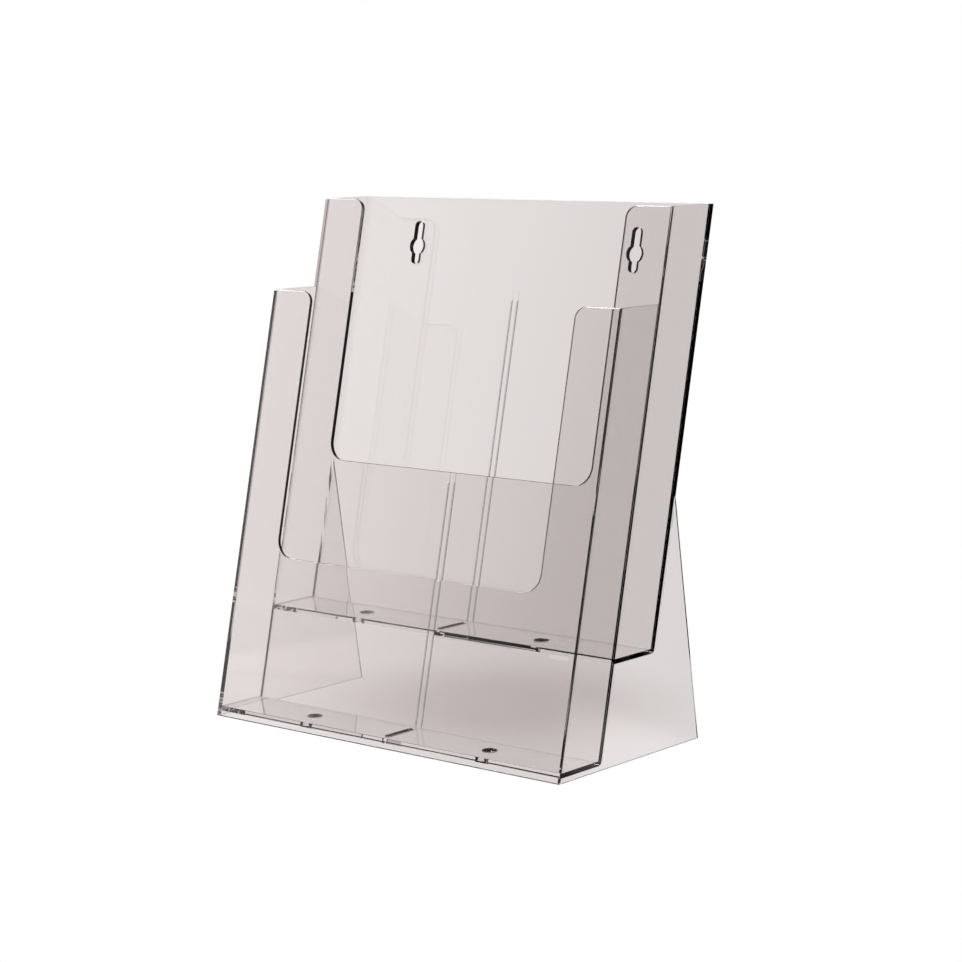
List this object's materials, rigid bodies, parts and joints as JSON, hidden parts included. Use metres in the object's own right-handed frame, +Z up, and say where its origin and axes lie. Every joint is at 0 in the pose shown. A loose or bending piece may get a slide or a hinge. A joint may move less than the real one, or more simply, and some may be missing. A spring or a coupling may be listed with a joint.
{
  "type": "brochure rack",
  "caption": "Free-standing clear plastic leaflet holder: tiered A4 pockets with U-shaped cut-out fronts, side cheeks as feet, and keyholes for hanging on a wall.",
  "frame": {"origin": "middle of the base, on the table: centre of the width and of the overall depth", "axes": "+Z up, the pockets' fronts face -Y, +X to the right of a person in front of the rack"},
  "size_m": [0.23, 0.127, 0.27],
  "materials": {
    "clear_sheet": "clear polished sheet with a faint warm grey tint",
    "clear_rib": "clear moulded rib with a faint warm grey tint"
  },
  "bodies": {
    "root": {"back_panel": "clear_sheet", "middle_panel": "clear_sheet", "front_panel": "clear_sheet", "rear_shelf": "clear_sheet", "front_shelf": "clear_sheet", "rear_pocket_side_left": "clear_sheet", "rear_pocket_side_right": "clear_sheet", "front_pocket_side_left": "clear_sheet", "front_pocket_side_right": "clear_sheet", "support_cheek_left": "clear_sheet", "support_cheek_right": "clear_sheet", "back_guide_rib_left": "clear_rib", "back_guide_rib_right": "clear_rib", "middle_guide_rib_left": "clear_rib", "middle_guide_rib_right": "clear_rib"}
  },
  "joints": []
}
